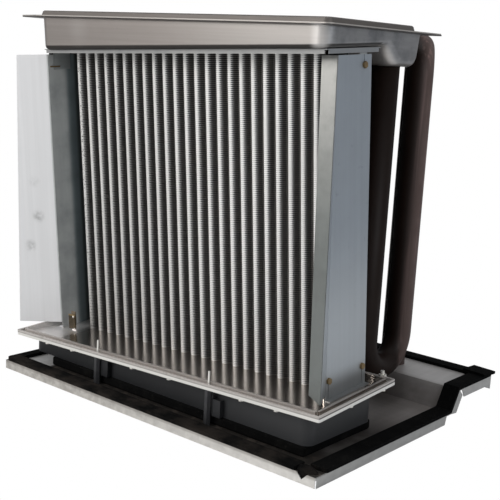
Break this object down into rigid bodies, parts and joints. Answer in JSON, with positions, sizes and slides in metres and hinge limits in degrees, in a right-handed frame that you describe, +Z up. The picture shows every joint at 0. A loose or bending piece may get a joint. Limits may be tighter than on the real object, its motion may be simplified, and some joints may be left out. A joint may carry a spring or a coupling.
{
  "type": "condensing furnace heat exchanger assembly",
  "caption": "Finned condensing coil on a stepped vestibule panel, joined by a pressed hot header to serpentine primary tubes, with a condensate collector under the coil.",
  "frame": {"origin": "middle of the underside of the vestibule panel's flat sheet", "axes": "+Z up, square to the panel; -Y the finned front of the coil; +X the right side seen from the front"},
  "size_m": [0.6709, 0.4549, 0.5575],
  "materials": {
    "galvanised_sheet": "dull galvanised sheet",
    "foam": "matte foam",
    "stainless": "brushed stainless, lightly heat-toned",
    "fins": "bare aluminium fins",
    "baffle_sheet": "galvanised sheet, blue-grey",
    "aluminised_tube": "heat-darkened aluminised steel",
    "collector_plastic": "moulded black plastic",
    "zinc_yellow": "yellow zinc plate",
    "zinc": "bright zinc plate"
  },
  "bodies": {
    "root": {"vest_panel": "galvanised_sheet", "gasket_front": "foam", "gasket_back": "foam", "gasket_left": "foam", "gasket_right": "foam", "gasket_patch": "foam", "collector_seal": "foam", "condensate_collector": "collector_plastic", "mounting_studs": "zinc", "sheet_frame": "stainless", "lower_tube_sheet": "stainless", "fin_pack": "fins", "upper_tube_sheet": "stainless", "baffle_left": "baffle_sheet", "baffle_right": "baffle_sheet", "frame_screws": "zinc", "baffle_screws": "zinc_yellow", "header_pan": "stainless", "header_cover": "stainless", "primary_tube_1": "aluminised_tube", "primary_tube_2": "aluminised_tube", "primary_tube_3": "aluminised_tube", "primary_tube_4": "aluminised_tube", "primary_tube_5": "aluminised_tube"}
  },
  "joints": []
}
